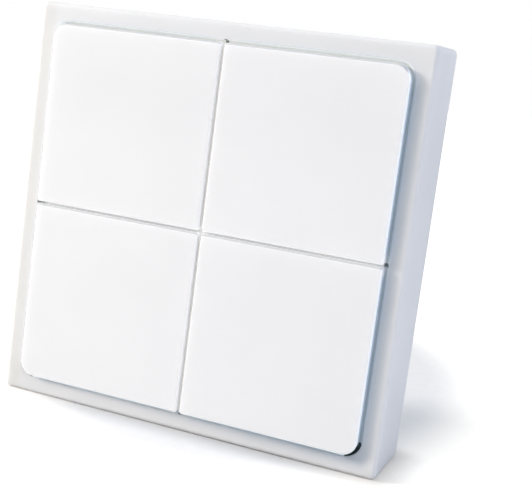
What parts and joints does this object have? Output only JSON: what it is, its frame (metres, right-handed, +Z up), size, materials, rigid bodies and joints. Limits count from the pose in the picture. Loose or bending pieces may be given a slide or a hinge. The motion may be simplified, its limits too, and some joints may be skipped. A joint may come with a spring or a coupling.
{
  "type": "smart switch",
  "caption": "Square wireless wall switch with glass-fronted hinged keys in a shallow frame, held by magnets on a screwed steel wall plate.",
  "frame": {"origin": "centre of the wall plate's back face, on the wall plane", "axes": "X to the right seen from the front, +Y into the wall (the keys face -Y), Z up the wall"},
  "size_m": [0.086, 0.02, 0.086],
  "materials": {
    "frame_white": "satin",
    "key_glass": "polished, painted white behind",
    "lever_white": "satin",
    "cover_white": "matte",
    "plate_steel": "zinc plated",
    "screw_steel": "plated",
    "board_green": "solder mask",
    "chip_black": "matte",
    "plunger_grey": "matte",
    "shield_metal": "tinned",
    "capacitor_tan": "matte",
    "contact_metal": "nickel plated",
    "cell_can": "satin",
    "magnet_nickel": "nickel plated",
    "button_grey": "matte",
    "light_clear": "clear"
  },
  "bodies": {
    "wall_mount": {"wall_plate": "plate_steel"},
    "switch_body": {"front_frame": "frame_white", "rear_cover": "cover_white", "key_carrier": "cover_white", "cover_screws": "screw_steel", "carrier_screws": "screw_steel", "circuit_board": "board_green", "radio_module": "board_green", "radio_shield": "shield_metal", "control_chip": "chip_black", "timing_crystal": "shield_metal", "chip_capacitors": "capacitor_tan", "status_led": "light_clear", "light_guide": "light_clear", "holding_magnets": "magnet_nickel", "positive_contact": "contact_metal", "negative_contact": "contact_metal", "bridge_contact": "contact_metal", "battery_cell_upper": "cell_can", "battery_cell_lower": "cell_can", "pairing_switch": "chip_black", "tact_switch_upper_left": "chip_black", "tact_switch_upper_right": "chip_black", "tact_switch_lower_left": "chip_black", "tact_switch_lower_right": "chip_black"},
    "key_upper_left": {"key_cap_upper_left": "key_glass", "key_lever_upper_left": "lever_white"},
    "key_upper_right": {"key_cap_upper_right": "key_glass", "key_lever_upper_right": "lever_white"},
    "key_lower_left": {"key_cap_lower_left": "key_glass", "key_lever_lower_left": "lever_white"},
    "key_lower_right": {"key_cap_lower_right": "key_glass", "key_lever_lower_right": "lever_white"},
    "plunger_upper_left": {"tact_plunger_upper_left": "plunger_grey"},
    "plunger_upper_right": {"tact_plunger_upper_right": "plunger_grey"},
    "plunger_lower_left": {"tact_plunger_lower_left": "plunger_grey"},
    "plunger_lower_right": {"tact_plunger_lower_right": "plunger_grey"},
    "battery_lid": {"battery_lid": "cover_white"},
    "pairing_button": {"pairing_button": "button_grey"},
    "pairing_plunger": {"pairing_plunger": "plunger_grey"}
  },
  "joints": [
    {"name": "body_pull_off", "type": "slide", "parent": "wall_mount", "child": "switch_body", "axis": [0, -1, 0], "range_m": [0, 0.03]},
    {"name": "key_press_upper_left", "type": "hinge", "parent": "switch_body", "child": "key_upper_left", "pos_m": [-0.0195, -0.0155, 0.0366], "axis": [1, 0, 0], "range_deg": [0, 1.4], "stiffness_Nm_per_rad": 1, "springref_deg": -0.69},
    {"name": "key_press_upper_right", "type": "hinge", "parent": "switch_body", "child": "key_upper_right", "pos_m": [0.0195, -0.0155, 0.0366], "axis": [1, 0, 0], "range_deg": [0, 1.4], "stiffness_Nm_per_rad": 1, "springref_deg": -0.69},
    {"name": "key_press_lower_left", "type": "hinge", "parent": "switch_body", "child": "key_lower_left", "pos_m": [-0.0195, -0.0155, -0.0366], "axis": [-1, 0, 0], "range_deg": [0, 1.4], "stiffness_Nm_per_rad": 1, "springref_deg": -0.69},
    {"name": "key_press_lower_right", "type": "hinge", "parent": "switch_body", "child": "key_lower_right", "pos_m": [0.0195, -0.0155, -0.0366], "axis": [-1, 0, 0], "range_deg": [0, 1.4], "stiffness_Nm_per_rad": 1, "springref_deg": -0.69},
    {"name": "plunger_press_upper_left", "type": "slide", "parent": "switch_body", "child": "plunger_upper_left", "axis": [0, 1, 0], "range_m": [0, 0.00036]},
    {"name": "plunger_press_upper_right", "type": "slide", "parent": "switch_body", "child": "plunger_upper_right", "axis": [0, 1, 0], "range_m": [0, 0.00036]},
    {"name": "plunger_press_lower_left", "type": "slide", "parent": "switch_body", "child": "plunger_lower_left", "axis": [0, 1, 0], "range_m": [0, 0.00036]},
    {"name": "plunger_press_lower_right", "type": "slide", "parent": "switch_body", "child": "plunger_lower_right", "axis": [0, 1, 0], "range_m": [0, 0.00036]},
    {"name": "battery_lid_slide", "type": "slide", "parent": "switch_body", "child": "battery_lid", "axis": [1, 0, 0], "range_m": [0, 0.005]},
    {"name": "pairing_press", "type": "slide", "parent": "switch_body", "child": "pairing_button", "axis": [0, -1, 0], "range_m": [0, 0.0003], "stiffness_N_per_m": 2000, "springref_m": -0.0003},
    {"name": "pairing_plunger_press", "type": "slide", "parent": "switch_body", "child": "pairing_plunger", "axis": [0, -1, 0], "range_m": [0, 0.0003]}
  ],
  "couplings": [
    {"joint": "plunger_press_upper_left", "follows": "key_press_upper_left", "m_per_rad": 0.0146},
    {"joint": "plunger_press_upper_right", "follows": "key_press_upper_right", "m_per_rad": 0.0146},
    {"joint": "plunger_press_lower_left", "follows": "key_press_lower_left", "m_per_rad": 0.0146},
    {"joint": "plunger_press_lower_right", "follows": "key_press_lower_right", "m_per_rad": 0.0146},
    {"joint": "pairing_plunger_press", "follows": "pairing_press", "ratio": 1}
  ]
}
